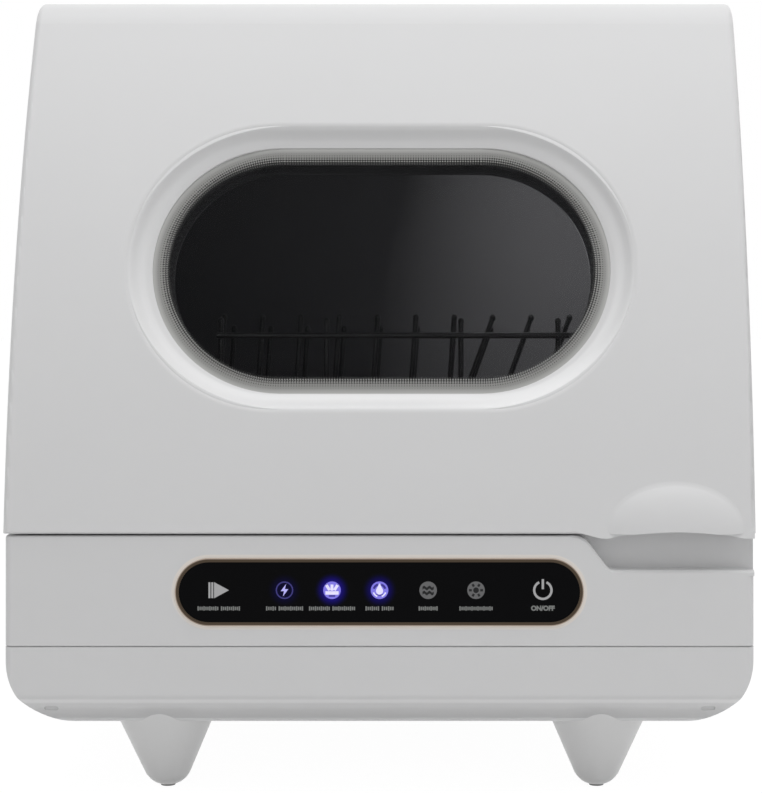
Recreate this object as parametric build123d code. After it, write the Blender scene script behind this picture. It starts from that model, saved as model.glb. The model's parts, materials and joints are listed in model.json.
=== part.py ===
from build123d import *
import math
import os

# Countertop dishwasher with a lift-up curved front door. Millimetres.
# X runs to the right, Y to the back, Z up; the feet stand on Z = 0.

# Driving dimensions of the casing
half_width = 210.0
front_y = -215.0
rear_y = 215.0
wall = 3.0
leg_height = 44.0
lower_seam_z = 90.0
upper_seam_z = 152.0
seam_gap = 0.8
top_z = 463.0
edge_radius = 4.0
top_edge_radius = 1.4
side_round = 40.0
under_slope = 17.0       # the tray's front and back turn under by this much
crease_radius = 5.0
under_radius = 9.0
hull_ease = 0.02         # keeps three surfaces of a hull from meeting in one tangent point

# Curved front: an arc in the side view, and the roll at its top edge
face_radius = 830.0
face_centre_y = 607.0
face_centre_z = 52.0
roll_radius = 28.0
door_half_width = 211.0
door_depth = 30.0
door_seam = 1.3
door_bottom_z = upper_seam_z + door_seam
door_edge_bevel = 1.0
door_gap = 1.0
roll_centre_z = top_z - roll_radius
roll_centre_y = face_centre_y - math.sqrt(
    (face_radius - roll_radius) ** 2 - (roll_centre_z - face_centre_z) ** 2)
roll_back_angle = 200.0
roll_clearance = 0.8

# Window in the door, sized along the face
window_angle = 17.74
bezel_length = 292.0
bezel_height = 171.0
pane_length = 265.0
pane_height = 149.0
bezel_depth = 9.0
pane_lap = 8.0
pane_seat = face_radius - bezel_depth - 0.6
outer_pane = 3.5
inner_pane = 3.0
tunnel_length = 252.0
tunnel_height = 138.0
tunnel_wall = 3.0
liner_thickness = 2.5
liner_top_z = 410.0

# Grip bulge over the finger recess
grip_x = 166.0
grip_y = -206.0
grip_z = 151.0
grip_axes = (48.5, 17.0, 32.5)
grip_blend = 5.0
pocket_y = -203.0
pocket_axes = (36.0, 14.0, 22.0)
pocket_wall = 2.5
lip_left = 106.0
lip_drop = 2.6
arch_rise = 4.2
arch_half_width = 38.0
recess_left = 115.0
recess_slant = 14.0
recess_bottom_z = 132.5
recess_depth = 13.0
recess_end_x = 178.0     # from here to the right-hand side the recess gets shallower
recess_end_depth = 4.2
recess_lip = 1.2

# Control panel
panel_length = 229.0
panel_height = 38.0
panel_z = 120.5
trim_width = 2.2
trim_proud = 0.8

# Tub and its front flange
tub_half_width = 184.0
tub_front_y = -178.0
tub_rear_y = 162.0
tub_floor_z = 128.0
tub_ceiling_z = 440.0
tub_front_ceiling_z = 402.0
tub_wall = 2.0
tub_corner = 18.0
flange_radius = 796.0
flange_thickness = 2.0
sill_z = 168.0
seal_thickness = 3.7
seal_width = 8.0

# Blind sockets low on the front corners
slot_x = 185.0
slot_z = 54.0
slot_length = 8.0
slot_height = 2.8
slot_end_y = front_y + 8.6

# Legs, leaning inwards under the casing
leg_x = 125.0
leg_foot_y = 163.0
leg_lean = 9.0
leg_top_radius = 38.0
leg_low_radius = 13.0
leg_low_z = 8.0
leg_top_z = 60.0
pad_radius = 4.2

# Rack
rack_half_width = 166.0
rack_front_y = -156.0
rack_rear_y = 144.0
rack_z = 182.0
frame_wire = 2.4
thin_wire = 1.6
rail_wire = 1.75
rack_rail_z = 262.0
tine_pitch = 23.2
tine_first_x = -97.0
tine_count = 10
tine_tip_z = 271.0
runner_gap = 0.3
rail_top_z = 174.0

# Spray arm, sump and filter
hub_x = 0.0
hub_y = -8.0
hub_radius = 7.0
running_gap = 0.05
arm_z = 146.0
arm_thickness = 9.0
arm_reach = 158.0
arm_hub_radius = 20.0
arm_tip_radius = 9.0
arm_sweep = 12.0
filter_x = 76.0
filter_y = -70.0
filter_radius = 30.0
wash_port_z = 111.0

# Hinge
pin_radius = 5.0
hinge_x = 196.0
hinge_plate = 4.0

# Fan at the back
fan_x = 118.0
fan_z = 408.0
fan_opening = 37.0
fan_size = 80.0
fan_y = 190.0
fan_depth = 18.0

# Filling funnel and its cap
fill_x = -118.0
fill_y = 170.0
fill_radius = 26.0
cap_radius = 31.0
rest_gap = 0.2

# Inside floor of the base, and the water connections in its back wall
floor_z = leg_height + wall
inlet_x = 168.0
drain_x = 112.0
connection_z = 118.0
inlet_radius = 13.2
drain_radius = 9.0
spigot_end_y = 231.0
root_step = 1.2         # the spigots' thicker roots fill the holes in the back wall
root_gap = 0.3
root_end_y = rear_y + 1.0

# The row's origin lies under the middle of the whole outline
bulge_front_y = grip_y - grip_axes[1]
origin_shift_y = -(spigot_end_y + bulge_front_y) / 2


def block(x_range, y_range, z_range):
    """A box between the given limits."""
    size = [high - low for low, high in (x_range, y_range, z_range)]
    centre = [(high + low) / 2 for low, high in (x_range, y_range, z_range)]
    return Pos(*centre) * Box(*size)


def prism_x(face, x_low, x_high):
    """A side-view face, drawn as (Y, Z), carried from x_low to x_high."""
    return extrude(Plane.YZ.offset(x_low) * face, x_high - x_low)


def prism_y(face, y_low, y_high):
    """A front-view face, drawn as (X, Z), carried from y_low to y_high."""
    return extrude(Plane.XZ.offset(-y_high) * face, y_high - y_low)


def prism_z(face, z_low, z_high):
    """A plan-view face, drawn as (X, Y), carried from z_low to z_high."""
    return extrude(Plane.XY.offset(z_low) * face, z_high - z_low)


def rod(start, end, radius):
    """A round bar between two points."""
    line = Line(start, end)
    section = Plane(origin=start, z_dir=line % 0) * Circle(radius)
    return extrude(section, line.length)


def rounded_plan(half_x, y_low, y_high, radius):
    """A rounded rectangle in plan."""
    return Pos(0, (y_low + y_high) / 2) * RectangleRounded(2 * half_x, y_high - y_low, radius)


def rounded_slot(length, height):
    """A slot shape drawn as a rounded rectangle, so that two of them loft evenly."""
    return RectangleRounded(length, height, height / 2 - 0.01)


def roll_point(radius, angle):
    """A side-view point round the hinge axis; 0 is down, 90 the front, 180 up."""
    turn = math.radians(angle)
    return (roll_centre_y - radius * math.sin(turn), roll_centre_z - radius * math.cos(turn))


def face_disc(radius):
    return Pos(face_centre_y, face_centre_z) * Circle(radius)


def roll_disc(radius):
    return Pos(roll_centre_y, roll_centre_z) * Circle(radius)


def below_roll(z_low):
    """Side-view area in front, above z_low and below the line from arc centre to hinge axis."""
    reach_y = face_centre_y - roll_centre_y
    reach_z = roll_centre_z - face_centre_z
    low_y = face_centre_y - reach_y * (z_low - face_centre_z) / reach_z
    high_y = face_centre_y - reach_y * 1.12
    high_z = face_centre_z + reach_z * 1.12
    return Polygon((low_y, z_low), (high_y, high_z), (-300, high_z), (-300, z_low), align=None)


def face_band(inner, outer, z_low, z_high=None):
    """Side-view strip between two front arcs."""
    band = (face_disc(outer) - face_disc(inner)) & below_roll(z_low)
    if z_high is not None:
        band = band & (Pos(-150, (z_low + z_high) / 2) * Rectangle(300, z_high - z_low))
    return band


def window_plane(radius):
    """Plane on the window's axis, at the given arc, looking out of the door."""
    turn = math.radians(window_angle)
    origin = (0, face_centre_y - radius * math.cos(turn), face_centre_z + radius * math.sin(turn))
    return Plane(origin=origin, x_dir=(1, 0, 0), z_dir=(0, -math.cos(turn), math.sin(turn)))


def window_prism(length, height, inner, outer):
    """A slot-shaped prism along the window's axis."""
    return extrude(window_plane(inner) * SlotOverall(length, height), outer - inner)


def ellipsoid(centre, axes):
    return Pos(*centre) * scale(Sphere(1), by=tuple(axes))


def rolled_hull(half_x, y_low, y_high, z_low, z_high, side, slope):
    """Tray form: round lower side edges; front and back turn under in a soft slope."""
    height = z_high - z_low
    across = Rectangle(2 * half_x, height)
    across = fillet(across.vertices().group_by(Axis.Y)[0], side)
    under = z_low - hull_ease
    along = Polygon((y_low, z_high), (y_low, z_low + slope), (y_low + slope, under),
                    (y_high - slope, under), (y_high, z_low + slope), (y_high, z_high), align=None)
    along = fillet(along.vertices().group_by(Axis.Y)[1], crease_radius)
    along = fillet(along.vertices().group_by(Axis.Y)[0], under_radius)
    body = prism_y(Pos(0, (z_low + z_high) / 2) * across, y_low, y_high)
    body = body & prism_x(along, -half_x, half_x)
    plan = rounded_plan(half_x + hull_ease, y_low - hull_ease, y_high + hull_ease, edge_radius)
    return body & prism_z(plan, z_low, z_high)


# ---------------------------------------------------------------- casing

def tray_outside():
    return rolled_hull(half_width, front_y, rear_y, leg_height, lower_seam_z - seam_gap / 2,
                       side_round, under_slope)


def make_bottom_shell():
    top = lower_seam_z - seam_gap / 2
    shell = tray_outside()
    shell -= rolled_hull(half_width - wall, front_y + wall, rear_y - wall, leg_height + wall,
                         top + 5, side_round - wall, under_slope - 0.4 * wall)
    lip = prism_z(rounded_plan(half_width - 1.5, front_y + 1.5, rear_y - 1.5, 3)
                  - rounded_plan(half_width - wall, front_y + wall, rear_y - wall, 2),
                  top, top + seam_gap)
    shell += lip
    for x in (-118, 0, 118):
        for y in (-60, 0, 60):
            shell -= prism_z(Pos(x, y) * SlotOverall(46, 4), leg_height - 1, leg_height + wall + 1)
    for side in (-1, 1):
        slot = Pos(side * slot_x, slot_z) * SlotOverall(slot_length, slot_height)
        shell -= prism_y(slot, front_y - 1, slot_end_y)
    return shell


def make_base_casing():
    low = lower_seam_z + seam_gap / 2
    shell = prism_z(rounded_plan(half_width, front_y, rear_y, edge_radius), low, upper_seam_z)
    shell = fillet(shell.faces().sort_by(Axis.Z)[-1].edges(), top_edge_radius)
    shell -= prism_z(rounded_plan(half_width - wall, front_y + wall, rear_y - wall, 2),
                     low - 1, upper_seam_z - wall)
    shell -= block((-tub_half_width, tub_half_width), (tub_front_y, tub_rear_y),
                   (upper_seam_z - wall - 1, upper_seam_z + 1))
    shell -= block((-150, 190), (tub_rear_y, 206), (upper_seam_z - wall - 1, upper_seam_z + 1))
    shell -= prism_y(Pos(0, panel_z) * SlotOverall(panel_length - 4, panel_height - 4),
                     front_y - 1, front_y + wall + 1)
    for x, radius in ((inlet_x, inlet_radius), (drain_x, drain_radius)):
        hole = Circle(radius + root_step + root_gap)
        shell -= prism_y(Pos(x, connection_z) * hole, rear_y - wall - 1, rear_y + 1)
    ledge = prism_z(rounded_plan(half_width - 1.5, front_y + 36, rear_y - 1.5, 3)
                    - rounded_plan(half_width - wall, front_y + 30, rear_y - wall, 2),
                    upper_seam_z, upper_seam_z + seam_gap)
    shell += ledge
    pocket_wall = recess_shape(recess_depth + wall, wall)
    pocket_wall = pocket_wall & block((0, half_width), (front_y, 0), (0, upper_seam_z))
    shell += pocket_wall
    return shell - recess_shape(recess_depth, 0) - recess_flare()


def recess_outline(grow):
    """Front view of the finger recess: level bottom, slanted left end, soft corners."""
    top = upper_seam_z + 3
    left = recess_left - grow
    bottom = recess_bottom_z - grow
    shoulder = (left, upper_seam_z - 0.9)
    outline = Polyline((left - 26, top), shoulder, (left + recess_slant, bottom),
                       (half_width + 2, bottom), (half_width + 2, top), close=True)
    face = make_face(outline)
    face = fillet(face.vertices().group_by(Axis.Y)[0].sort_by(Axis.X)[0], 6)
    return fillet(face.vertices().sort_by_distance(shoulder)[0], 12)


def recess_shape(depth, grow):
    """Finger recess, open at the front and top, and shallower at its right-hand end."""
    back = front_y + depth
    end = front_y + recess_end_depth + depth - recess_depth
    plan = make_face([
        Line((80, front_y - 2), (80, back)),
        Line((80, back), (recess_end_x, back)),
        Bezier((recess_end_x, back), (half_width - 9, back), (half_width + 2, end)),
        Line((half_width + 2, end), (half_width + 2, front_y - 2)),
        Line((half_width + 2, front_y - 2), (80, front_y - 2)),
    ])
    low = recess_bottom_z - grow - 1
    return prism_y(recess_outline(grow), front_y - 2, back + 1) & prism_z(plan, low, upper_seam_z + 4)


def recess_flare():
    """Slanted lip round the mouth of the recess."""
    mouth = Plane.XZ.offset(-front_y - recess_lip) * recess_outline(0)
    return extrude(mouth, recess_lip + 0.5, taper=-45)


def make_cabinet_shell():
    low = upper_seam_z + seam_gap
    area = Pos(0, (low + top_z) / 2) * Rectangle(2 * rear_y, top_z - low)
    area = fillet(area.vertices().group_by(Axis.Y)[-1].sort_by(Axis.X)[-1], 14)
    crown = Pos((roll_centre_y + 9.6 + rear_y) / 2, (roll_centre_z + top_z) / 2) \
        * Rectangle(rear_y - roll_centre_y - 9.6, top_z - roll_centre_z)
    reach = face_disc(face_radius - door_depth - door_gap) + crown
    profile = (area & reach) - roll_disc(roll_radius + roll_clearance)
    shell = prism_x(profile, -half_width, half_width)
    for side in (-1, 1):
        top_edges = shell.edges().filter_by(Axis.Y).group_by(Axis.Z)[-1]
        edge = top_edges.sort_by(Axis.X)[-1 if side > 0 else 0]
        shell = fillet(edge, 5)
    inner = Pos(0, (100 + top_z - wall) / 2) * Rectangle(600, top_z - wall - 100)
    shell -= prism_x(inner, -half_width + wall, half_width - wall)
    rim = block((-half_width + wall, half_width - wall), (209, 212), (low, top_z - wall))
    rim -= block((-198, 198), (208, 213), (low + 8, top_z - wall - 8))
    shell += rim
    shell -= Pos(fill_x, fill_y, top_z) * Cylinder(cap_radius + 0.5, 12)
    return shell


def make_back_panel():
    low = upper_seam_z + seam_gap
    panel = block((-half_width + wall, half_width - wall), (212, rear_y), (low, top_z - wall))
    panel = fillet(panel.edges().filter_by(Axis.Y), 4)
    panel -= Pos(fan_x, rear_y, fan_z) * Rot(90, 0, 0) * Cylinder(37, 10)
    for row in range(7):
        z = 196 + 9 * row
        panel -= prism_y(Pos(-100, z) * SlotOverall(90, 3.6), 211, rear_y + 1)
    return panel


def make_vent_grille():
    """Round louvred cover over the fan."""
    disc = Pos(fan_x, rear_y + 1, fan_z) * Rot(90, 0, 0) * Cylinder(42, 2)
    disc += Pos(fan_x, 213.5, fan_z) * Rot(90, 0, 0) * Cylinder(36.8, 3)
    for ring in range(4):
        outer = 12 + 7.5 * ring
        gap = Circle(outer) - Circle(outer - 4.5)
        gap -= Rectangle(3, 90)
        gap -= Rectangle(90, 3)
        disc -= prism_y(Pos(fan_x, fan_z) * gap, 205, 220)
    return disc


# ---------------------------------------------------------------- legs

def make_leg(x, end):
    """Leaning cone leg with a round tip, cut to the tray it is screwed to."""
    rise = leg_top_z - leg_low_z
    axis = Plane(origin=(x, end * leg_foot_y, leg_low_z), z_dir=(0, end * leg_lean, rise))
    leg = axis * Cone(leg_low_radius, leg_top_radius, rise + 8,
                      align=(Align.CENTER, Align.CENTER, Align.MIN))
    tip = make_face([
        Line((0, 1.2), (0, leg_low_z)),
        Line((0, leg_low_z), (leg_low_radius, leg_low_z)),
        ThreePointArc((leg_low_radius, leg_low_z), (9.5, 3.4), (5.5, 1.2)),
        Line((5.5, 1.2), (0, 1.2)),
    ])
    leg += Pos(x, end * leg_foot_y, 0) * revolve(Plane.XZ * tip, Axis.Z)
    leg -= tray_outside()
    leg -= Pos(x, end * leg_foot_y, 0) * Cylinder(pad_radius, 6)
    return leg.solids().sort_by(Axis.Z)[0]


def make_leg_pads():
    """Soft studs pressed into the tips of the legs."""
    pads = []
    for x in (-leg_x, leg_x):
        for y in (-leg_foot_y, leg_foot_y):
            pads.append(Pos(x, y, 1.5) * Cylinder(pad_radius, 3))
    return Compound(pads)


# ---------------------------------------------------------------- control panel

def make_panel_trim():
    ring = SlotOverall(panel_length, panel_height)
    ring -= SlotOverall(panel_length - 2 * trim_width, panel_height - 2 * trim_width)
    return prism_y(Pos(0, panel_z) * ring, front_y - trim_proud, front_y)


def make_panel_lens():
    lens = SlotOverall(panel_length - 2 * trim_width, panel_height - 2 * trim_width)
    return prism_y(Pos(0, panel_z) * lens, front_y - trim_proud / 2, front_y + wall)


def make_touch_board():
    board = block((-105, 105), (front_y + wall, front_y + wall + 1.6), (panel_z - 13, panel_z + 13))
    for number in range(7):
        x = -90 + 30 * number
        board += block((x - 6, x + 6), (front_y + wall + 1.6, front_y + wall + 3), (panel_z - 6, panel_z + 6))
    return board


def make_control_board():
    """Mains board standing behind the panel, with relays and a choke."""
    board_y = -193.0
    low = floor_z
    board = block((-70, 80), (board_y, board_y + 1.6), (low, low + 72))
    board += block((-60, -30), (board_y + 1.6, board_y + 13), (low + 30, low + 56))
    for number in range(3):
        x = -10 + 26 * number
        board += block((x, x + 18), (board_y + 1.6, board_y + 12), (low + 36, low + 52))
    board += Pos(66, board_y + 6.6, low + 20) * Rot(90, 0, 0) * Cylinder(9, 12)
    return board


# ---------------------------------------------------------------- tub

def tub_profile(inset):
    """Side view of the tub, its front cut by the flange arc."""
    outline = Polygon(
        (tub_front_y + inset, tub_floor_z + inset),
        (tub_rear_y - inset, tub_floor_z + inset),
        (tub_rear_y - inset, tub_ceiling_z - inset),
        (-48 + inset, tub_ceiling_z - inset),
        (-68 + inset, tub_front_ceiling_z - inset),
        (-190, tub_front_ceiling_z - inset),
        (-190, sill_z),
        (tub_front_y + inset, sill_z),
        align=None)
    return outline


def round_rear(body, radius):
    """Rounds the two upright edges at the back."""
    return fillet(body.edges().filter_by(Axis.Z).group_by(Axis.Y)[-1], radius)


def make_tub():
    outside = tub_profile(0) & face_disc(flange_radius)
    tub = round_rear(prism_x(outside, -tub_half_width, tub_half_width), tub_corner)
    inside = prism_x(tub_profile(tub_wall), -tub_half_width + tub_wall, tub_half_width - tub_wall)
    inside = round_rear(inside, tub_corner - tub_wall)
    tub += prism_x(face_band(flange_radius - flange_thickness, flange_radius, 156.5, 404),
                   -half_width + wall, half_width - wall)
    tub -= inside
    tub -= Pos(filter_x, filter_y, tub_floor_z) * Cylinder(filter_radius + 4, 20)
    tub -= Pos(hub_x, hub_y, tub_floor_z) * Cylinder(hub_radius + 0.5, 20)
    for row in range(4):
        z = fan_z - 12 + 8 * row
        tub -= prism_y(Pos(fan_x, z) * SlotOverall(50, 3.6), tub_rear_y - 6, tub_rear_y + 1)
    return tub


def make_door_seal():
    """Soft ring on the flange, a little short of the closed door."""
    ring = prism_x(face_band(flange_radius, flange_radius + seal_thickness, 158.5, 401.5), -198, 198)
    return ring - block((-190, 190), (-300, 0), (158.5 + seal_width, 401.5 - seal_width))


def make_rack_rail(side):
    """Shelf along the tub wall that carries the rack, open at the front."""
    x = side * (tub_half_width - tub_wall - 6)
    rail = block((x - 6, x + 6), (-172, 146), (rail_top_z - 4, rail_top_z))
    rail += block((x + side * 4 - 2, x + side * 4 + 2), (-172, 146), (rail_top_z, rail_top_z + 5))
    return rail


# ---------------------------------------------------------------- water side

def make_sump():
    """Well under the tub floor with the filter seat and the spray post socket."""
    top = tub_floor_z
    sump = Pos(filter_x, filter_y, top - 22) * Cylinder(filter_radius + 9, 44)
    sump += Pos(hub_x, hub_y, top - 12) * Cylinder(16, 24)
    sump += Pos(38, -39, top - 12) * Rot(0, 0, -39) * Box(90, 22, 24)
    sump -= Pos(filter_x, filter_y, top - 18) * Cylinder(filter_radius + 4, 38)
    sump -= Pos(hub_x, hub_y, top - 8) * Cylinder(hub_radius, 20)
    sump += rod((hub_x + 14, hub_y, wash_port_z), (hub_x + 46, hub_y, wash_port_z), 6)
    for angle in (0, 120, 240):
        turn = math.radians(angle)
        x = filter_x + 36 * math.cos(turn)
        y = filter_y + 36 * math.sin(turn)
        sump += block((x - 3, x + 3), (y - 3, y + 3), (leg_height + wall, top - 40))
    return sump


def make_filter_cup():
    """Lift-out cup strainer with a bar handle; its rim lies over the tub floor."""
    top = tub_floor_z + tub_wall + rest_gap + 2.8
    cup = Pos(filter_x, filter_y, top - 16) * Cylinder(filter_radius, 32)
    cup += Pos(filter_x, filter_y, top - 1.4) * Cylinder(filter_radius + 7, 2.8)
    cup -= Pos(filter_x, filter_y, top - 14) * Cylinder(filter_radius - 2, 32)
    cup += Pos(filter_x, filter_y, top - 3) * Box(2 * filter_radius - 3, 5, 8)
    for row in range(3):
        for step in range(6):
            hole = Pos(filter_x, filter_y, top - 10 - 7 * row) * Rot(0, 90, 60 * step + 30)
            cup -= hole * Pos(0, 0, filter_radius - 1) * Cylinder(2, 8)
    return cup


def make_spray_post():
    post = Pos(hub_x, hub_y, 0) * (Pos(0, 0, 136) * Cylinder(hub_radius, 48))
    post += Pos(hub_x, hub_y, arm_z + arm_thickness + 4.8) * Cylinder(11, 8)
    post += Pos(hub_x, hub_y, arm_z - 3) * Cylinder(10, 5)
    return post.solids()[0]


def make_spray_arm():
    """Two swept, tapering blades on a hub, with a row of jets in each."""
    hub = Circle(arm_hub_radius)
    tip = Pos(arm_reach - arm_tip_radius, arm_sweep) * Circle(arm_tip_radius)
    blade = make_hull(list((Pos(0, 2) * Circle(arm_hub_radius - 3)).edges()) + list(tip.edges()))
    arm = prism_z(blade + Rot(0, 0, 180) * blade + hub, -arm_thickness / 2, arm_thickness / 2)
    side_view = Polygon((-arm_reach, -arm_thickness / 2), (arm_reach, -arm_thickness / 2),
                        (arm_reach, -1), (arm_hub_radius, arm_thickness / 2),
                        (-arm_hub_radius, arm_thickness / 2), (-arm_reach, -1), align=None)
    arm = arm & prism_y(side_view, -60, 60)
    arm = fillet(arm.faces().sort_by(Axis.Z)[0].edges(), 1.5)
    arm -= Cylinder(hub_radius + running_gap, 3 * arm_thickness)
    for reach in (45, 80, 110, 138):
        jet = Pos(reach, arm_sweep * reach / arm_reach, 4) * Cylinder(1.6, 8)
        arm -= jet + Rot(0, 0, 180) * jet
    return Pos(hub_x, hub_y, arm_z + arm_thickness / 2) * arm


def make_wash_pump():
    """Lying pump: motor, volute, suction nose, and a spout towards the spray post."""
    axis_z = floor_z + 34
    pump = Pos(120, 48, axis_z) * Rot(90, 0, 0) * Cylinder(27, 66)
    pump += Pos(120, 0, axis_z) * Rot(90, 0, 0) * Cylinder(33, 30)
    pump += Pos(120, -20, axis_z) * Rot(90, 0, 0) * Cylinder(10, 14)
    pump += rod((120, hub_y, wash_port_z), (66, hub_y, wash_port_z), 6)
    pump += block((96, 144), (20, 74), (floor_z, floor_z + 16))
    return pump


def make_drain_pump():
    pump = Pos(150, -110, floor_z + 18) * Cylinder(20, 36)
    pump += Pos(150, -110, floor_z + 42) * Cylinder(15, 14)
    pump += rod((162, -110, floor_z + 12), (162, -72, floor_z + 12), 6)
    return pump


def make_heater():
    """Round flow heater with a mounting foot at each end."""
    axis_z = floor_z + 26
    heater = rod((-25, 96, axis_z), (83, 96, axis_z), 17)
    for x in (-14, 72):
        heater += block((x - 5, x + 5), (86, 106), (floor_z, floor_z + 14))
    heater += rod((-45, 96, axis_z), (-25, 96, axis_z), 7)
    return heater


def make_water_tank():
    tank = block((-188, -62), (-150, 190), (floor_z + 8, tub_floor_z - 3))
    tank = fillet(tank.edges(), 8)
    tank += block((-168, -80), (-120, 160), (floor_z, floor_z + 10))
    tank += Pos(fill_x, fill_y + 8, tub_floor_z - 1) * Cylinder(13, 14)
    return tank.solids()[0]


def make_fill_funnel():
    """Cup under the cap, and the neck that leads down behind the tub."""
    rim_top = top_z - wall
    cup = Pos(fill_x, fill_y, rim_top - 1.25) * Cylinder(cap_radius + 7, 2.5)
    cup += Pos(fill_x, fill_y, rim_top - 8) * Cylinder(fill_radius + 2, 16)
    cup -= Pos(fill_x, fill_y, rim_top - 5) * Cylinder(fill_radius, 18)
    cup += Pos(fill_x, fill_y + 8, rim_top - 23) * Cylinder(11, 18)
    return cup - Pos(fill_x, fill_y + 8, rim_top - 20) * Cylinder(9, 40)


def make_fill_pipe():
    """Pipe from the funnel's neck to the tank's mouth."""
    high = top_z - wall - 32
    y = fill_y + 8
    pipe = Pos(fill_x, y, (high + tub_floor_z + 6) / 2) * Cylinder(11, high - tub_floor_z - 6)
    return pipe - Pos(fill_x, y, (high + tub_floor_z) / 2) * Cylinder(9, high)


def make_fill_cap():
    """Plug flush with the top, with a bar left standing in its finger well."""
    disc = Pos(fill_x, fill_y, top_z - (wall - rest_gap) / 2) * Cylinder(cap_radius, wall - rest_gap)
    disc = fillet(disc.faces().sort_by(Axis.Z)[-1].edges(), 0.8)
    cap = disc + Pos(fill_x, fill_y, top_z - wall - 4.5) * Cylinder(fill_radius - 0.5, 11)
    well = Cylinder(fill_radius - 6, 10) - Box(60, 7, 12)
    return cap - Pos(fill_x, fill_y, top_z - 4) * well


def spigot(x, radius, bore, start_y):
    """Tube through the back wall, on a thicker root."""
    tube = rod((x, start_y, connection_z), (x, spigot_end_y, connection_z), radius)
    tube += rod((x, rear_y - wall, connection_z), (x, root_end_y, connection_z), radius + root_step)
    return tube, rod((x, start_y - 1, connection_z), (x, spigot_end_y + 1, connection_z), bore)


def make_inlet_valve():
    """Water valve on the back wall, with its spigot outside."""
    inside_y = rear_y - wall
    tube, bore = spigot(inlet_x, inlet_radius, 8, inside_y)
    valve = block((inlet_x - 18, inlet_x + 18), (inside_y - 32, inside_y),
                  (connection_z - 18, connection_z + 18))
    return valve + tube - bore


def make_drain_spigot():
    inside_y = rear_y - wall
    tube, bore = spigot(drain_x, drain_radius, 7, inside_y - 18)
    tube += rod((drain_x, inside_y - 6, connection_z), (drain_x, inside_y, connection_z), 14)
    return tube - bore


def hose(points, radius, outside, inside):
    path = FilletPolyline(*points, radius=radius)
    section = Plane(origin=path @ 0, z_dir=path % 0) * (Circle(outside) - Circle(inside))
    return sweep(section, path)


def make_drain_hose():
    """Hose from the drain pump, round the wash pump, to the drain spigot."""
    low = floor_z + 12
    points = ((162, -72, low), (162, -50, low), (171, -16, low), (171, 110, low + 4),
              (132, 152, low + 34), (drain_x, 176, connection_z), (drain_x, 194, connection_z))
    return hose(points, 16, 8, 6)


def make_wash_hose():
    """Straight sleeve over the pump's spout and the spray post's port."""
    sleeve = rod((hub_x + 36, hub_y, wash_port_z), (76, hub_y, wash_port_z), 8)
    return sleeve - rod((hub_x + 30, hub_y, wash_port_z), (80, hub_y, wash_port_z), 6)


# ---------------------------------------------------------------- fan

def make_fan_housing():
    """Square fan frame with its round duct, hub strut and tub-side duct."""
    frame = block((fan_x - fan_size / 2, fan_x + fan_size / 2), (fan_y, fan_y + fan_depth),
                  (fan_z - fan_size / 2, fan_z + fan_size / 2))
    frame = fillet(frame.edges().filter_by(Axis.Y), 5)
    frame -= Pos(fan_x, fan_y + fan_depth / 2, fan_z) * Rot(90, 0, 0) * Cylinder(37, 30)
    motor_y = fan_y + fan_depth - 2
    frame += Pos(fan_x, motor_y, fan_z) * Rot(90, 0, 0) * Cylinder(13, 4)
    for angle in (45, 135):
        strut = Pos(fan_x, motor_y + 0.5, fan_z) * Rot(0, angle, 0) * Box(78, 3, 4)
        frame += strut
    frame += Pos(fan_x, fan_y + 8, fan_z) * Rot(90, 0, 0) * Cylinder(2.5, 16)
    return frame


def make_fan_rotor():
    hub = Cylinder(13, 10)
    blade = Pos(23.5, 0, 0) * Rot(32, 0, 0) * Box(23, 13, 1.6)
    rotor = hub
    for number in range(7):
        rotor += Rot(0, 0, number * 360 / 7) * blade
    rotor -= Cylinder(2.5 + running_gap, 12)
    return Pos(fan_x, fan_y + 7, fan_z) * Rot(90, 0, 0) * rotor


def make_air_duct():
    """Box duct between the vent slots of the tub and the fan."""
    low_y = tub_rear_y
    duct = block((fan_x - 38, fan_x + 38), (low_y, fan_y), (fan_z - 38, fan_z + 38))
    return duct - block((fan_x - 36, fan_x + 36), (low_y - 1, fan_y + 1), (fan_z - 36, fan_z + 36))


# ---------------------------------------------------------------- hinge

def make_hinge_bracket(side):
    """Steel ear on the cabinet side that holds the hinge pin."""
    eye = Pos(*roll_point(0, 0)) * Circle(10)
    foot = Pos(roll_centre_y + 64, roll_centre_z - 40) * Rectangle(60, 28)
    root = Pos(roll_centre_y + 38, roll_centre_z - 40) * Rectangle(8, 14)
    arm = make_hull(list(eye.edges()) + list(root.edges()))
    plate_low = side * hinge_x - hinge_plate / 2
    bracket = prism_x(eye + arm + foot, plate_low, plate_low + hinge_plate)
    outer = side * (half_width - wall)
    inner = side * (hinge_x + hinge_plate / 2)
    spacer = block((min(inner, outer), max(inner, outer)),
                   (roll_centre_y + 40, roll_centre_y + 90), (roll_centre_z - 52, roll_centre_z - 28))
    bracket += spacer
    return bracket - hinge_bore(side, pin_radius)


def hinge_bore(side, radius):
    return Pos(side * hinge_x, roll_centre_y, roll_centre_z) * Rot(0, 90, 0) * Cylinder(radius, 60)


def make_hinge_pins():
    pins = []
    for side in (-1, 1):
        x = side * (hinge_x - 3)
        pins.append(Pos(x, roll_centre_y, roll_centre_z) * Rot(0, 90, 0) * Cylinder(pin_radius, 18))
    return Compound(pins)


def make_hinge_arm(side):
    """Knuckle inside the door's roll that turns on the pin."""
    low, high = sorted((side * (hinge_x - hinge_plate / 2 - 0.5),
                        side * (hinge_x - hinge_plate / 2 - 7.5)))
    eye = Pos(*roll_point(0, 0)) * Circle(10)
    tip = Pos(*roll_point(roll_radius - wall - 3, 75)) * Circle(3)
    arm = prism_x(make_hull(list(eye.edges()) + list(tip.edges())), low, high)
    arm += prism_x(face_band(face_radius - 9, face_radius - wall, liner_top_z), low, high)
    arm = arm & prism_x(face_disc(face_radius - wall), -300, 300)
    return arm - hinge_bore(side, pin_radius + running_gap)


# ---------------------------------------------------------------- door

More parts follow.
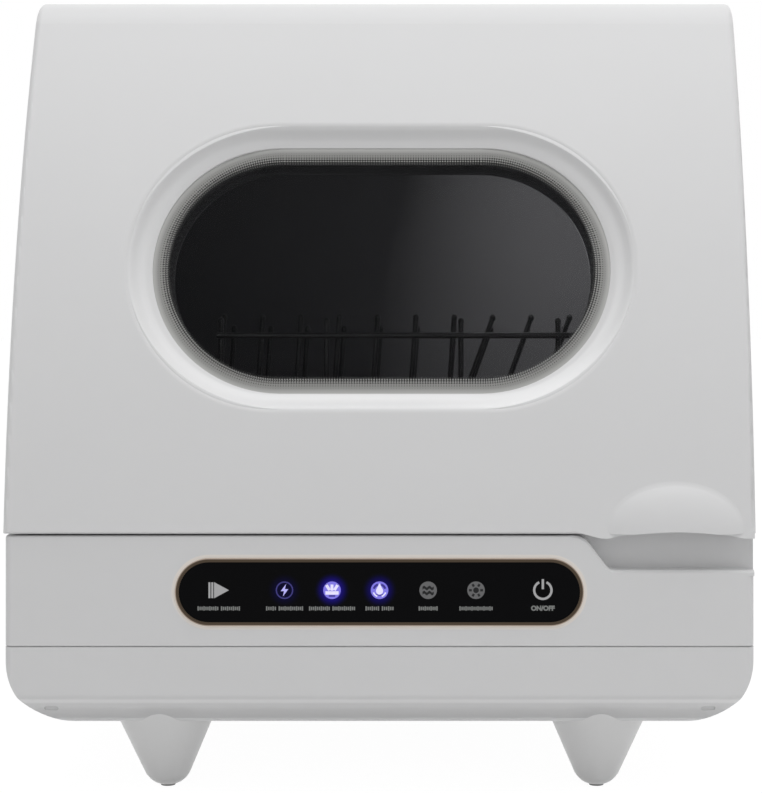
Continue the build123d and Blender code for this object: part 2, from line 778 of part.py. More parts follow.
def door_outside():
    """Closed outer form of the door, with its roll and grip bulge."""
    wedge = Polygon(roll_point(0, 0), roll_point(60, roll_back_angle), roll_point(85, 160),
                    roll_point(85, 120), roll_point(60, 61.5), align=None)
    profile = face_band(face_radius - door_depth, face_radius, door_bottom_z)
    profile = chamfer(profile.vertices().group_by(Axis.Y)[0].sort_by(Axis.X)[0], door_edge_bevel)
    profile += roll_disc(roll_radius) & wedge
    body = prism_x(profile, -door_half_width, door_half_width)
    for x in (-door_half_width, door_half_width):
        body = fillet([edge for edge in body.edges() if on_front_rim(edge, x)], edge_radius)
    return body


def on_front_rim(edge, x):
    """True for an edge at side x that runs along the front arc or round the roll."""
    middle = edge @ 0.5
    from_face = math.hypot(middle.Y - face_centre_y, middle.Z - face_centre_z) - face_radius
    from_roll = math.hypot(middle.Y - roll_centre_y, middle.Z - roll_centre_z) - roll_radius
    return abs(middle.X - x) < 0.01 and min(abs(from_face), abs(from_roll)) < 0.01


def make_door_shell():
    shell = door_outside()
    for side in (-1, 1):
        low, high = sorted((side * (door_half_width - wall), side * door_half_width))
        shell += prism_x(roll_disc(roll_radius - edge_radius), low, high)
    shell = add_grip_bulge(shell)
    hollow = face_band(face_radius - door_depth - 10, face_radius - wall, door_bottom_z + wall)
    hollow += roll_disc(roll_radius - wall)
    back = Polygon(roll_point(0, 0), roll_point(60, roll_back_angle), roll_point(85, 245),
                   roll_point(85, 290), roll_point(85, 335), roll_point(60, 20), align=None)
    cavity = prism_x(hollow + back, -door_half_width + wall, door_half_width - wall)
    shell -= cavity
    rim = window_prism(bezel_length + 8, bezel_height + 8, pane_seat - 5, face_radius + 20)
    shell += rim & prism_x(face_band(pane_seat, face_radius - wall / 2, door_bottom_z),
                           -door_half_width, door_half_width)
    shell -= window_funnel()
    shell -= window_prism(pane_length, pane_height, face_radius - 40, face_radius)
    shell += door_lip()
    boss = ellipsoid((grip_x, pocket_y, grip_z), [axis + pocket_wall for axis in pocket_axes])
    boss = boss & block((0, half_width), (-240, -180), (door_bottom_z, 200))
    shell += boss & prism_x(face_disc(face_radius) - face_disc(liner_radius() + liner_thickness),
                            0, half_width)
    shell -= ellipsoid((grip_x, pocket_y, grip_z), pocket_axes)
    arch_radius = (arch_half_width ** 2 + arch_rise ** 2) / (2 * arch_rise)
    arch_z = door_bottom_z - lip_drop + arch_rise - arch_radius
    return shell - prism_y(Pos(grip_x, arch_z) * Circle(arch_radius), -240, -180)


def add_grip_bulge(shell):
    """Swell over the finger recess, blended into the door's face."""
    bulge = ellipsoid((grip_x, grip_y, grip_z), grip_axes)
    bulge = bulge & block((0, door_half_width - 1), (-240, -200), (door_bottom_z, 200))
    shell += bulge
    seam = [edge for edge in shell.edges() if on_bulge_seam(edge)]
    return fillet(seam, grip_blend)


def on_bulge_seam(edge):
    """True for the edge where the bulge meets the face's arc."""
    middle = edge @ 0.5
    from_face = math.hypot(middle.Y - face_centre_y, middle.Z - face_centre_z) - face_radius
    along = [(middle.X - grip_x) / grip_axes[0], (middle.Y - grip_y) / grip_axes[1],
             (middle.Z - grip_z) / grip_axes[2]]
    from_bulge = math.hypot(*along) - 1
    return abs(from_face) < 0.01 and abs(from_bulge) < 0.001


def door_lip():
    """Lower edge of the door's face, which hangs a little lower over the recess."""
    face = face_disc(face_radius) - face_disc(face_radius - wall + 0.4)
    low = door_bottom_z - lip_drop
    face = face & (Pos(-150, low + 5) * Rectangle(300, 10))
    outline = Polyline((lip_left, door_bottom_z + 2), (lip_left + 18, low),
                       (door_half_width - 1, low), (door_half_width - 1, door_bottom_z + 2), close=True)
    return prism_x(face, 0, door_half_width) & prism_y(make_face(outline), -240, -200)


def window_funnel():
    """Slanted bezel that leads from the door's face down to the curved pane."""
    sag = (pane_height / 2) ** 2 / (2 * face_radius)
    rim_sag = (bezel_height / 2) ** 2 / (2 * face_radius)
    depth = bezel_depth + sag
    side_slope = (bezel_length - pane_length) / bezel_depth
    top_slope = (bezel_height - pane_height) / (depth - rim_sag)
    outer = window_plane(face_radius) * rounded_slot(bezel_length, bezel_height + top_slope * rim_sag)
    inner = window_plane(face_radius - depth) * rounded_slot(bezel_length - side_slope * depth,
                                                             pane_height)
    funnel = loft([inner, outer])
    funnel += window_prism(bezel_length, bezel_height + top_slope * rim_sag, face_radius,
                           face_radius + 10)
    pane_front = face_radius - bezel_depth
    return funnel - prism_x(face_disc(pane_front), -door_half_width, door_half_width)


def curved_pane(length, height, inner, outer):
    """Pane bent to the door's arc and cut to a slot shape."""
    sheet = prism_x(face_disc(outer) - face_disc(inner), -200, 200)
    return sheet & window_prism(length, height, inner - 30, outer + 30)


def make_outer_glass():
    return curved_pane(pane_length + pane_lap, pane_height + pane_lap, pane_seat - outer_pane,
                       pane_seat)


def make_glass_gasket():
    outer = pane_seat - outer_pane
    ring = curved_pane(tunnel_length + 8, tunnel_height + 8, outer - 3, outer)
    return ring - window_prism(tunnel_length, tunnel_height, 700, 900)


def liner_radius():
    return face_radius - door_depth


def make_door_liner():
    """Inner skin of the door with the tunnel that frames the inner pane."""
    low = liner_radius()
    high = low + liner_thickness
    half_x = door_half_width - wall
    liner = prism_x(face_band(low, high, door_bottom_z + wall, liner_top_z), -half_x, half_x)
    tube_top = pane_seat - outer_pane - 3
    tube = curved_pane(tunnel_length + 2 * tunnel_wall, tunnel_height + 2 * tunnel_wall, low, tube_top)
    liner += tube
    tunnel = window_prism(tunnel_length, tunnel_height, 700, 900)
    liner -= tunnel - prism_x(face_disc(high), -200, 200)
    liner -= window_prism(tunnel_length - 8, tunnel_height - 8, 700, 900)
    closing = face_band(low, face_radius - wall, liner_top_z - 3, liner_top_z)
    liner += prism_x(closing, -half_x, half_x)
    return liner


def make_inner_glass():
    low = liner_radius() + liner_thickness
    pane = prism_x(face_disc(low + inner_pane) - face_disc(low), -200, 200)
    return pane & window_prism(tunnel_length, tunnel_height, 700, 900)


def make_door_magnets():
    """Two catch magnets on the door's bottom wall."""
    magnets = []
    z = door_bottom_z + wall
    for side in (-1, 1):
        magnets.append(block((side * 100 - 8, side * 100 + 8), (-205, -197), (z, z + 10)))
    return Compound(magnets)


def make_catch_plates():
    """Steel strips under the deck that the magnets pull on."""
    plates = []
    top = upper_seam_z - wall
    for side in (-1, 1):
        plates.append(block((side * 100 - 9, side * 100 + 9), (-208, -194), (top - 2, top)))
    return Compound(plates)


def make_door_switch():
    top = upper_seam_z - wall
    switch = block((-12, 12), (-190, -180), (top - 16, top))
    return switch


# ---------------------------------------------------------------- rack

def make_rack_frame():
    """Round-cornered wire hoop at the foot of the rack."""
    path = rounded_plan(rack_half_width, rack_front_y, rack_rear_y, 18).wires()[0]
    path = Pos(0, 0, rack_z) * path
    section = Plane(origin=path @ 0, z_dir=path % 0) * Circle(frame_wire)
    return sweep(section, path, transition=Transition.ROUND)


def make_rack_floor():
    """Long wires on the hoop, and cross wires under them."""
    wires = []
    z = rack_z
    for number in range(13):
        x = -144 + 24 * number
        wires.append(rod((x, rack_front_y + frame_wire, z), (x, rack_rear_y - frame_wire, z), thin_wire))
    for number in range(4):
        y = -110 + 74 * number
        low = z - 2 * thin_wire
        wires.append(rod((-150, y, low), (150, y, low), thin_wire))
    return Compound(wires)


def tine_lean(x):
    """Tines over the bowl side, on the right, lean outwards."""
    return 20.0 if x > 60 else 4.0


def make_tine_row(y, tip_z):
    """One row of tines on the wire that carries them."""
    base_z = rack_z + 2 * thin_wire
    pieces = [rod((-150, y, base_z), (150, y, base_z), thin_wire)]
    for number in range(tine_count):
        tip_x = tine_first_x + tine_pitch * number
        height = tip_z - base_z - thin_wire
        foot_x = tip_x - height * math.tan(math.radians(tine_lean(tip_x)))
        tine = rod((foot_x, y, base_z + thin_wire * 0.9), (tip_x, y, tip_z), thin_wire)
        pieces.append(tine)
    return Compound(pieces)


def make_front_rail():
    """Upper rail at the front of the rack, on four posts."""
    y = rack_front_y
    rail_y = y - thin_wire - rail_wire
    pieces = [rod((-97, rail_y, rack_rail_z), (114, rail_y, rack_rail_z), rail_wire)]
    for x in (-95, -33, 46, 103):
        pieces.append(rod((x, y, rack_z + frame_wire), (x, y, rack_rail_z + 8), thin_wire))
    return Compound(pieces)


def make_side_rail(side):
    """Side wall of the rack: an upper wire on three posts."""
    x = side * rack_half_width
    z = 236
    pieces = [rod((x, -140, z), (x, 128, z), thin_wire)]
    for y in (-132, -4, 120):
        pieces.append(rod((x, y, rack_z + frame_wire), (x, y, z - thin_wire), thin_wire))
    return Compound(pieces)


def make_rack_runners():
    """Plastic shoes clipped under the hoop, sliding on the rails."""
    shoes = []
    low = rail_top_z + runner_gap
    for side in (-1, 1):
        x = side * (rack_half_width + 1)
        for y in (-120, 100):
            shoe = block((x - 5, x + 5), (y - 18, y + 18), (low, rack_z))
            shoe -= rod((side * rack_half_width, y - 20, rack_z),
                        (side * rack_half_width, y + 20, rack_z), frame_wire)
            shoes.append(shoe)
    return Compound(shoes)


def make_casing_screws():
    """Round-head screws round the back panel."""
    screws = []
    low = upper_seam_z + seam_gap
    for x in (-202.5, 0, 202.5):
        for z in (low + 4, top_z - wall - 4):
            head = Pos(x, rear_y + 1, z) * Rot(90, 0, 0) * Cylinder(3, 2)
            screws.append(head)
    return Compound(screws)


def write_parts():
    os.makedirs("parts", exist_ok=True)
    nodes = {
        "bottom_shell": make_bottom_shell(),
        "base_casing": make_base_casing(),
        "cabinet_shell": make_cabinet_shell(),
        "back_panel": make_back_panel(),
        "vent_grille": make_vent_grille(),
        "leg_front_left": make_leg(-leg_x, -1),
        "leg_front_right": make_leg(leg_x, -1),
        "leg_rear_left": make_leg(-leg_x, 1),
        "leg_rear_right": make_leg(leg_x, 1),
        "leg_pads": make_leg_pads(),
        "panel_trim": make_panel_trim(),
        "panel_lens": make_panel_lens(),
        "touch_board": make_touch_board(),
        "control_board": make_control_board(),
        "tub": make_tub(),
        "door_seal": make_door_seal(),
        "rack_rail_left": make_rack_rail(-1),
        "rack_rail_right": make_rack_rail(1),
        "sump": make_sump(),
        "filter_cup": make_filter_cup(),
        "spray_post": make_spray_post(),
        "spray_arm": make_spray_arm(),
        "wash_pump": make_wash_pump(),
        "drain_pump": make_drain_pump(),
        "heater": make_heater(),
        "water_tank": make_water_tank(),
        "fill_funnel": make_fill_funnel(),
        "fill_pipe": make_fill_pipe(),
        "fill_cap": make_fill_cap(),
        "inlet_valve": make_inlet_valve(),
        "drain_spigot": make_drain_spigot(),
        "drain_hose": make_drain_hose(),
        "wash_hose": make_wash_hose(),
        "fan_housing": make_fan_housing(),
        "fan_rotor": make_fan_rotor(),
        "air_duct": make_air_duct(),
        "hinge_bracket_left": make_hinge_bracket(-1),
        "hinge_bracket_right": make_hinge_bracket(1),
        "hinge_pins": make_hinge_pins(),
        "hinge_arm_left": make_hinge_arm(-1),
        "hinge_arm_right": make_hinge_arm(1),
        "door_shell": make_door_shell(),
        "door_liner": make_door_liner(),
        "outer_glass": make_outer_glass(),
        "glass_gasket": make_glass_gasket(),
        "inner_glass": make_inner_glass(),
        "door_magnets": make_door_magnets(),
        "catch_plates": make_catch_plates(),
        "door_switch": make_door_switch(),
        "rack_frame": make_rack_frame(),
        "rack_floor": make_rack_floor(),
        "tine_row_front": make_tine_row(-118, tine_tip_z),
        "tine_row_rear": make_tine_row(-58, tine_tip_z - 9),
        "front_rail": make_front_rail(),
        "side_rail_left": make_side_rail(-1),
        "side_rail_right": make_side_rail(1),
        "rack_runners": make_rack_runners(),
        "casing_screws": make_casing_screws(),
    }
    for name, shape in nodes.items():
        export_step(Pos(0, origin_shift_y, 0) * shape, f"parts/{name}.step")
        print(name, round(shape.volume), len(shape.solids()))


write_parts()
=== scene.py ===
import json
import math

import bmesh
import bpy
from mathutils import Matrix, Vector


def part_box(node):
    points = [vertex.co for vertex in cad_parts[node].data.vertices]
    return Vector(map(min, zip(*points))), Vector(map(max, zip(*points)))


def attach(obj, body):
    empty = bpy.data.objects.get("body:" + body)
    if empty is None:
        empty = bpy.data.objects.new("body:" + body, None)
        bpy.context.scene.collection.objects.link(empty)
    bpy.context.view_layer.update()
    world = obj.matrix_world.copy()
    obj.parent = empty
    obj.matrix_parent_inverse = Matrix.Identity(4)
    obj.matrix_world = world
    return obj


# Countertop dishwasher: finishes, prints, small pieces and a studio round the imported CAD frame.
# Blender counts in metres. Sizes here are in millimetres, unless a comment says otherwise,
# and MM turns them into metres.
MM = 0.001
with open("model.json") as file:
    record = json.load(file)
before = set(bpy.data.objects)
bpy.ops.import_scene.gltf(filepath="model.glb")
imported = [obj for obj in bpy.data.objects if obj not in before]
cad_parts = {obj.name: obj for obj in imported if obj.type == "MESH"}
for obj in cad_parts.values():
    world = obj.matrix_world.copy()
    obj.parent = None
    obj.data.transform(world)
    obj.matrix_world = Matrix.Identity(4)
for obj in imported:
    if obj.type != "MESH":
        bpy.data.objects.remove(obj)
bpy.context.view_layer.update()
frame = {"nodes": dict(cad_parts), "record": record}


# ------------------------------------------------------------ sizes

# Touch panel
panel_low, panel_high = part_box("panel_lens")
lens_front = panel_low.y                    # metres
PANEL_Z = (panel_low.z + panel_high.z) / 2 / MM
TRIM_LENGTH = 229.0
TRIM_HEIGHT = 38.0
# Where a pale warm highlight is painted on the housing's edge round the trim
LIP_BAND = (-2.4, -1.3)                     # inward from the trim's outline
LIP_FRONT = (-205, -200)                    # Y from which the lip fades out backwards

# Touch keys
KEY_X = {"start": -89.9, "quick": -53.1, "jets": -26.5, "fresh": 0.1, "dry": 27.3, "hot": 54.1,
         "power": 91.5}
KEY_GLOW = {"quick": 0.12, "jets": 1.0, "fresh": 0.55}      # strength of the glow round a lit key
GLOW_CORE = 4.2
GLOW_EDGE = 11.0
SYMBOL_Z = PANEL_Z + 1.1
SYMBOL_RADIUS = 4.9
RIM_WIDTH = 0.7
PRINT_PROUD = 0.1
LAYER_STEP = 0.6                            # how much further each layer stands out, in PRINT_PROUD
LABEL_Z = PANEL_Z - 9.1
LABEL_WORDS = {"start": (12, 11), "quick": (6, 14), "jets": (12, 13), "fresh": (8, 7), "dry": (11,),
               "hot": (19,)}                # width of each word's row of strokes
STROKE_PITCH = 1.1
STROKE_SIZE = (0.76, 1.9)
TALL_STROKE = 1.25                          # every third stroke is this much taller
LETTER_SIZE = 3.6
LETTER_SWELL = 0.2

# Door face and window. Lengths are across, and heights along the pane's arc.
FACE_CENTRE = (603.0, 52.0)                 # Y and Z of the arc's centre
FACE_RADIUS = 820.4
WINDOW_ANGLE = math.radians(17.74)
BEZEL_LENGTH = 292.0
BEZEL_HEIGHT = 169.4
CREASE_REACH = 2.6                          # either side of the bezel's outline
CREASE_DEPTH = 0.5
HOLLOW_FLOOR = 6.5                          # inward from the outline, where the hollow is deepest
HOLLOW_END = 11.5
HOLLOW_DEPTH = 1.1
HOLLOW_RISE = 0.9
# Band of the painted highlight on the lower part of the window bezel
SILL_START = (-2.5, 3)
SILL_END = (8.5, 11)
SILL_FADE = (-95, 45)                       # along the arc, from the bottom upwards

# Dotted border of the pane, inward from this outline
CLEAR_LENGTH = 265.0
CLEAR_HEIGHT = 149.0
DOT_PITCH = 1.5
DOT_BORDER = 10.0
DOT_RADIUS = 0.74                           # largest dot, in pitches
DOT_SHRINK = 0.44                           # how much smaller the last dots are
PAINT_FADE = 4

# Tray
TRAY_CREASE_Z = 59.0
# Either side of the crease, where the painted highlight fades out
PAINTED_CREASE_BAND = (0.4, 2.2)
UNDER_REACH = 12
UNDER_BEND = 0.035                          # extra depth for each mm below the crease, squared

# Rack wires
TINE_FIRST_X = -97.0
TINE_PITCH = 23.2
TINE_COUNT = 10
TINE_ROWS = ((-122.0, 271.0), (-62.0, 262.0))       # Y and tip height of each row
POST_X = (-95.0, -33.0, 46.0, 103.0)
POST_TIP = (-160.0, 270.0)                  # Y and tip height
TIP_RADIUS = 1.6 + 0.35                     # the wire, and the nylon over its end
TIP_STRETCH = 1.25                          # upwards

# Thread of the supply connection
THREAD_CENTRE = (168.0, 118.0)              # X and Z
THREAD_START = 15                           # inward from the connection's end
THREAD_END = 1.2
THREAD_PITCH = 1.8
THREAD_STEPS = 36                           # for each turn
THREAD_PROFILE = ((13.0, -0.8), (13.75, -0.15), (13.75, 0.15), (13.0, 0.8))     # radius and shift


# ------------------------------------------------------------ colours, gloss and light

# Case, trim and strainer
WHITE = (0.74, 0.74, 0.745)
# Lighter white for the legs: painted light against the shade on their down-facing sides
LEG_PAINTED_LIGHT_WHITE = (0.82, 0.82, 0.82)
# Pale warm colour of the painted highlight round the panel's trim
LIP_HIGHLIGHT_COLOUR = (0.87, 0.82, 0.77)
# Colour of the painted highlights on the bezel's lower part and along the tray's crease
PAINTED_HIGHLIGHT_WHITE = (0.88, 0.88, 0.885)
RIM_BROWN = (0.075, 0.056, 0.04)
# Pale colour of the highlight painted along the trim's outer edge
RIM_HIGHLIGHT_PALE = (0.6, 0.5, 0.42)
STRAINER_GREY = (0.6, 0.6, 0.6)
# Painted shade: the dark seen through the strainer's holes
HOLE_SHADE_GREY = (0.06, 0.06, 0.06)
HOLES_PER_METRE = 620.0

# Panes. The body is how much of the glass isn't see-through.
GLASS_TINT = (0.012, 0.012, 0.013)
GLASS_BODY = 0.25
INNER_GLASS_BODY = 0.05
GLASS_ROUGHNESS = 0.04
DOT_PAINT = (0.52, 0.52, 0.51)
DOT_PAINT_INSIDE = (0.32, 0.32, 0.31)
SLANT_POWER = 2.5
SLANT_GLOSS = 0.4

# Light from the panel
GLOW_BLUE = (0.008, 0.003, 0.17)
PRINT_COLOURS = {
    "white": (0.35, 0.35, 0.355),
    "grey": (0.115, 0.115, 0.118),
    "dark": (0.006, 0.006, 0.007),
    "label": (0.17, 0.175, 0.17),
    "dim_blue": (0.04, 0.035, 0.2),
    "blue": (0.22, 0.19, 0.8),
    "deep_blue": (0.035, 0.025, 0.25),
    "lit": (0.8, 0.77, 1.0),
    "spark": (0.5, 0.47, 1.0),
}

# Moulded plastic and drawn steel
CLOUD_SIZE = 60
GLOSS_SIZE = 9
GLOSS_SPREAD = 0.08
STEEL_SPREAD = 0.18
STEEL_GRAIN = 0.6
STEEL_LINE_DEPTH = 0.01

# Studio
WORLD_LIGHT = 0.4
FLOOR_WIDTH = 12                            # metres
FLOOR_GLOW = 1.08
FLOOR_GLOW_SHARE = 0.9
SOFTBOXES = {                               # place, aim and size in metres, and power in watts
    "top_softbox": ((0.1, -0.5, 1.7), (0, 0, 0.2), (1.6, 1.6), 14.2),
    "right_softbox": ((1.5, -1.5, 0.9), (0, 0, 0.25), (1.0, 1.4), 4.4),
    "left_softbox": ((-1.6, -1.3, 0.8), (0, 0, 0.25), (1.0, 1.4), 2.1),
    "rear_softbox": ((0.3, 1.6, 1.1), (0, 0.1, 0.3), (1.4, 1.0), 6.5),
    "chamber_lamp": ((0.04, -0.08, 0.385), (0.2, -0.06, 0.35), (0.03, 0.03), 1.6),
}


# ------------------------------------------------------------ nodes

class Value:
    """A number that varies over a surface. An expression on it adds Math nodes."""

    def __init__(self, nodes, socket):
        self.nodes = nodes
        self.socket = socket

    def join(self, operation, *terms):
        return self.nodes.value("ShaderNodeMath", {"operation": operation}, dict(enumerate(terms)))

    def __add__(self, other):
        return self.join("ADD", self, other)

    def __sub__(self, other):
        return self.join("SUBTRACT", self, other)

    def __rsub__(self, other):
        return self.join("SUBTRACT", other, self)

    def __mul__(self, other):
        return self.join("MULTIPLY", self, other)

    def __truediv__(self, other):
        return self.join("DIVIDE", self, other)

    def __rtruediv__(self, other):
        return self.join("DIVIDE", other, self)

    def __pow__(self, other):
        return self.join("POWER", self, other)

    def __rpow__(self, other):
        return self.join("POWER", other, self)

    def __abs__(self):
        return self.join("ABSOLUTE", self)

    __radd__ = __add__
    __rmul__ = __mul__

    def above(self, floor):
        return self.join("MAXIMUM", self, floor)

    def below(self, ceiling):
        return self.join("MINIMUM", self, ceiling)

    def fraction(self):
        return self.join("FRACT", self)

    def root(self):
        return self.join("SQRT", self)

    def angle_over(self, base):
        """Angle in radians of a slope that rises by this value over a base."""
        return self.join("ARCTAN2", self, base)

    def ease(self, start, end):
        """0 at start and 1 at end, with a soft step between them."""
        return self.nodes.value("ShaderNodeMapRange", {"interpolation_type": "SMOOTHSTEP"},
                                {"Value": self, "From Min": start, "From Max": end})


class Nodes:
    """The nodes of one material, or of the world."""

    def __init__(self, tree):
        self.tree = tree

    def feed(self, node, inputs):
        """Gives sockets of a node a plain value or a link, by the socket's name or number."""
        for name, value in inputs.items():
            value = value.socket if isinstance(value, Value) else value
            if isinstance(value, bpy.types.NodeSocket):
                self.tree.links.new(value, node.inputs[name])
            else:
                node.inputs[name].default_value = value

    def add(self, kind, settings=None, inputs=None):
        """A new node, with its settings made before its sockets are fed."""
        made = self.tree.nodes.new(kind)
        for name, value in (settings or {}).items():
            setattr(made, name, value)
        self.feed(made, inputs or {})
        return made

    def value(self, kind, settings=None, inputs=None, output=0):
        """One output of a new node, ready for an expression."""
        return Value(self, self.add(kind, settings, inputs).outputs[output])


class Finish(Nodes):
    """One material: a Principled shader and the nodes that vary it."""

    def __init__(self, name, colour, roughness, **constants):
        self.material = bpy.data.materials.new(name)
        self.material.use_nodes = True
        super().__init__(self.material.node_tree)
        self.shader = self.tree.nodes["Principled BSDF"]
        self.feed(self.shader, {"Base Color": (*colour, 1), "Roughness": roughness})
        self.feed(self.shader, {key.replace("_", " "): value for key, value in constants.items()})

    def point(self):
        """The point on the part, in metres."""
        return self.add("ShaderNodeTexCoord").outputs["Object"]

    def place(self):
        """X, Y and Z of the point on the part."""
        parts = self.add("ShaderNodeSeparateXYZ", None, {0: self.point()})
        return [Value(self, parts.outputs[axis]) * 1000 for axis in "XYZ"]

    def grain(self, size, detail=2.0, stretch=(1, 1, 1)):
        """Noise from 0 to 1 with lumps of about the given size, drawn out along an axis by stretch."""
        drawn = self.add("ShaderNodeVectorMath", {"operation": "DIVIDE"}, {0: self.point(), 1: stretch})
        return self.value("ShaderNodeTexNoise", None,
                          {"Vector": drawn.outputs[0], "Scale": 1 / (size * MM), "Detail": detail}, "Fac")

    def blend_colours(self, factor, first, second):
        """Mix of two colours. The first may be the socket of an earlier mix."""
        start = first if isinstance(first, bpy.types.NodeSocket) else (*first, 1)
        mixer = self.add("ShaderNodeMix", {"data_type": "RGBA"}, {0: factor, 6: start, 7: (*second, 1)})
        return mixer.outputs[2]

    def tint(self, factor, first, second):
        self.feed(self.shader, {"Base Color": self.blend_colours(factor, first, second)})
        return self

    def glow(self, factor, first, second):
        """Light given off by the surface itself, at plain strength."""
        self.feed(self.shader, {"Emission Color": self.blend_colours(factor, first, second),
                                "Emission Strength": 1.0})
        return self

    def rough(self, value):
        self.feed(self.shader, {"Roughness": value})
        return self

    def uneven_gloss(self, pattern, roughness, spread):
        """Roughness that a pattern from 0 to 1 spreads about its plain value."""
        return self.rough(pattern * spread + (roughness - spread / 2))

    def relief(self, height, depth=1.0):
        """Bump for a height that is multiplied by the given depth."""
        bump = self.add("ShaderNodeBump", None, {"Height": height, "Distance": depth * MM})
        self.feed(self.shader, {"Normal": bump.outputs[0]})
        return self

    def cover(self, share, shader):
        """Lays another shader over this one by a share from 0 to 1."""
        mixer = self.add("ShaderNodeMixShader", None,
                         {0: share, 1: self.shader.outputs[0], 2: shader.outputs[0]})
        self.feed(self.tree.nodes["Material Output"], {"Surface": mixer.outputs[0]})
        return self


# ------------------------------------------------------------ places on the part

def inside_slot(across, along, length, height):
    """Distance inward from a slot shape's outline, negative beyond it."""
    past = (abs(across) - (length - height) / 2).above(0)
    return height / 2 - (past * past + along * along).root()


def window_coordinates(finish):
    """Across and along the curved pane from its middle."""
    across, depth, up = finish.place()
    slope = (up - FACE_CENTRE[1]).angle_over(FACE_CENTRE[0] - depth)
    return across, (slope - WINDOW_ANGLE) * FACE_RADIUS


def soft_bezel(finish):
    """Height that rounds the window bezel's outer crease and hollows its slope."""
    inside = inside_slot(*window_coordinates(finish), BEZEL_LENGTH, BEZEL_HEIGHT)
    near = (1 - abs(inside) / CREASE_REACH).above(0)
    crease = near * near * -CREASE_DEPTH
    hollow = inside.ease(0, HOLLOW_FLOOR) * HOLLOW_DEPTH
    return crease - hollow + inside.ease(HOLLOW_FLOOR, HOLLOW_END) * HOLLOW_RISE


def painted_sill_highlight(finish):
    """Painted highlight: brighter colour on the lower, upward-facing part of the window bezel, where light
    from above falls.
    """
    across, along = window_coordinates(finish)
    inside = inside_slot(across, along, BEZEL_LENGTH, BEZEL_HEIGHT)
    sill_highlight = inside.ease(*SILL_START) * (1 - inside.ease(*SILL_END))
    return sill_highlight * (1 - along.ease(*SILL_FADE)), PAINTED_HIGHLIGHT_WHITE


def under_curve(finish):
    """Height that turns the tray's under slope further down towards its foot."""
    below = (TRAY_CREASE_Z - finish.place()[2]).above(0).below(UNDER_REACH)
    return below * below * -UNDER_BEND


def painted_crease_highlight(finish):
    """Painted highlight: a bright line where the tray's under slope begins."""
    away = abs(finish.place()[2] - TRAY_CREASE_Z)
    return 1 - away.ease(*PAINTED_CREASE_BAND), PAINTED_HIGHLIGHT_WHITE


def painted_lip_highlight(finish):
    """Painted highlight: a pale warm band on the housing's edge close round the panel's trim, on the front
    only.
    """
    across, depth, up = finish.place()
    inside = inside_slot(across, up - PANEL_Z, TRIM_LENGTH, TRIM_HEIGHT)
    return inside.ease(*LIP_BAND) * (1 - depth.ease(*LIP_FRONT)), LIP_HIGHLIGHT_COLOUR


# ------------------------------------------------------------ finishes

def darker(colour, share):
    """The same colour at a share of its brightness."""
    return tuple(channel * share for channel in colour)


def moulded(name, colour, roughness, grain_size, grain_depth, shade=0.03, form=None, mark=None,
            **constants):
    """Moulded plastic: a faint cloudy tone, uneven gloss and a fine skin texture.

    form gives a height over the part. mark gives where another colour shows, and that colour.
    """
    finish = Finish(name, colour, roughness, **constants)
    tone = finish.blend_colours(finish.grain(CLOUD_SIZE), darker(colour, 1 - shade), colour)
    if mark:
        marked, other = mark(finish)
        tone = finish.blend_colours(marked, tone, other)
    finish.feed(finish.shader, {"Base Color": tone})
    finish.uneven_gloss(finish.grain(GLOSS_SIZE), roughness, GLOSS_SPREAD)
    height = finish.grain(grain_size, 3.0) * grain_depth
    if form:
        height = form(finish) + height
    return finish.relief(height)


def case_plastic(name, colour=WHITE, **places):
    """White satin plastic of the outer case."""
    return moulded(name, colour, 0.33, 0.8, 0.012, 0.02, Coat_Weight=0.15, **places)


def lined_metal(name, colour, roughness, stretch):
    """Metal whose gloss varies in fine lines along stretch. Gives the finish and the lines."""
    finish = Finish(name, colour, roughness, Metallic=1.0)
    lines = finish.grain(STEEL_GRAIN, 2.0, stretch)
    return finish.uneven_gloss(lines, roughness, STEEL_SPREAD), lines


def drawn_steel(name, colour, roughness, stretch):
    """Rolled or drawn steel with fine lines along the drawing direction."""
    finish, lines = lined_metal(name, colour, roughness, stretch)
    return finish.tint(lines, darker(colour, 0.82), colour).relief(lines, STEEL_LINE_DEPTH)


def copper_rim():
    """Trim round the touch lens: brown inside, with a painted highlight in pale peach along its outer
    edge.
    """
    finish, lines = lined_metal("rose_copper_trim", RIM_BROWN, 0.36, (12, 1, 1))
    across, _, up = finish.place()
    depth = inside_slot(across, up - PANEL_Z, TRIM_LENGTH, TRIM_HEIGHT)
    # Painted highlight along the trim's outer edge, streaked by the drawn lines
    edge = (1 - depth.ease(0.1, 0.8)) * (lines * 0.3 + 0.7)
    return finish.tint(edge, RIM_BROWN, RIM_HIGHLIGHT_PALE).relief(lines, STEEL_LINE_DEPTH)


def strainer_steel():
    """Stainless strainer with fine round holes in rows, painted dark grey as the shade seen through them.
    """
    finish, _ = lined_metal("strainer_steel", STRAINER_GREY, 0.34, (1, 1, 14))
    away = finish.value("ShaderNodeTexVoronoi", {"feature": "F1"},
                        {"Vector": finish.point(), "Scale": HOLES_PER_METRE, "Randomness": 0.0},
                        "Distance")
    # The holes are painted shade, not see-through.
    hole = 1 - away.ease(0.25, 0.38)
    return finish.tint(hole, STRAINER_GREY, HOLE_SHADE_GREY).relief(1 - hole, 0.15)


def touch_lens():
    """Black touch lens, with a blue glow round the lit symbols."""
    finish = Finish("touch_lens_black", (0.002, 0.002, 0.0025), 0.2, Specular_IOR_Level=0.04)
    across, _, up = finish.place()
    rise = up - SYMBOL_Z
    glow = 0
    for key, strength in KEY_GLOW.items():
        side = across - KEY_X[key]
        near = 1 - (side * side + rise * rise).root().ease(GLOW_CORE, GLOW_EDGE)
        glow = near * near * strength + glow
    finish.glow(glow.below(1), (0, 0, 0), GLOW_BLUE)
    return finish.rough(finish.grain(4) * 0.05 + 0.17)


